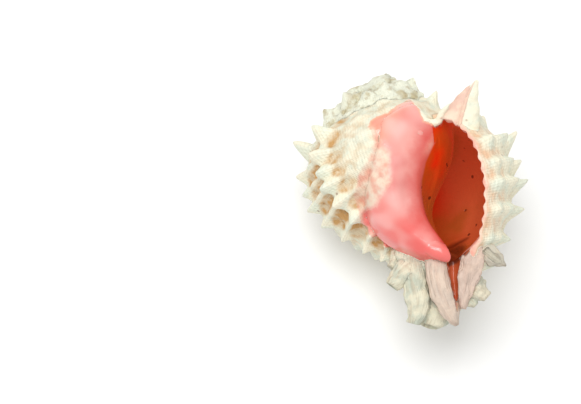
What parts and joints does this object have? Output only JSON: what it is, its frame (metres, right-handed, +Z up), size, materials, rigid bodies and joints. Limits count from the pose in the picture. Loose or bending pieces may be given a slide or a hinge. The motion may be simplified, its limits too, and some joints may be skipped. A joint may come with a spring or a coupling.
{
  "type": "murex shell",
  "caption": "Spiny sea-snail shell lying on its back: swollen spiral body with rows of spines, wide oval mouth with a spread lip, short open canal.",
  "frame": {"origin": "on the floor plane under the middle of the shell's box, as it lies on its back", "axes": "+Y towards the apex along the coil's axis, +X from the coiling axis towards the outer lip, +Z up out of the mouth"},
  "size_m": [0.0852, 0.1046, 0.0793],
  "materials": {
    "shell": "satin"
  },
  "bodies": {
    "root": {"shell": "shell"}
  },
  "joints": []
}
